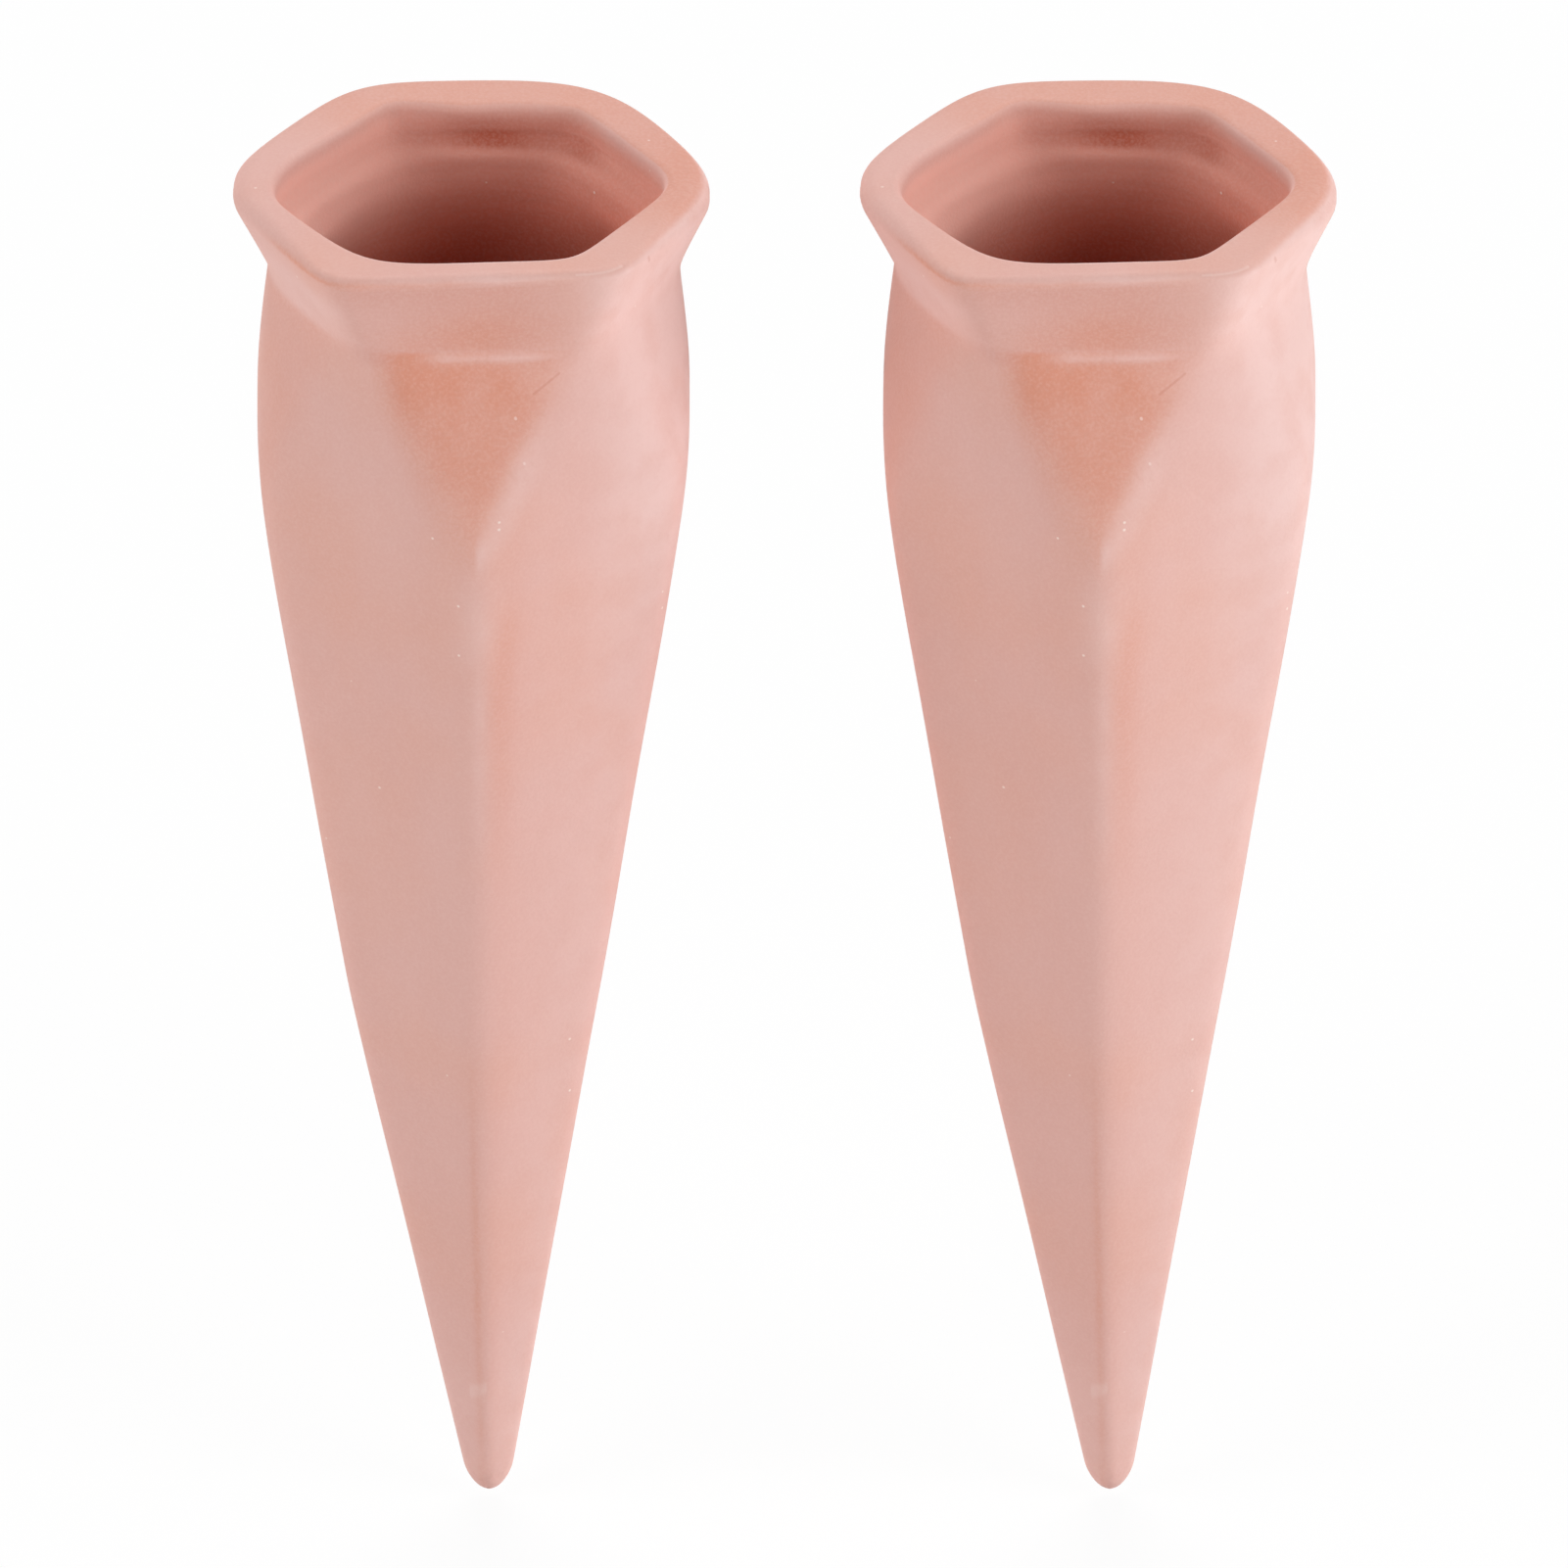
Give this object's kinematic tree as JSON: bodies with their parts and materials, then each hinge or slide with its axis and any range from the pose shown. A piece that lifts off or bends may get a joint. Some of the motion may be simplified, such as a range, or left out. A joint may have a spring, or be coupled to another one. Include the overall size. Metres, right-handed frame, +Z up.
{
  "type": "self watering spike",
  "caption": "Hollow terracotta watering spikes with flared hexagonal rims over faceted bodies that taper to rounded tips, for upturned bottles in plant pots.",
  "frame": {"origin": "on the left spike's upright axis, at the soil line in the crease under its rim", "axes": "+Z up out of the soil, +X from the left spike to the right one, -Y to the front; the tips point down"},
  "size_m": [0.1315, 0.0576, 0.1807],
  "materials": {
    "terracotta": "matte, unglazed, pale fired clay"
  },
  "bodies": {
    "left_spike": {"left_spike": "terracotta"},
    "right_spike": {"right_spike": "terracotta"}
  },
  "joints": [
    {"name": "right_spike_pull", "type": "slide", "parent": "left_spike", "child": "right_spike", "axis": [0, 0, 1], "range_m": [0, 0.17]}
  ]
}
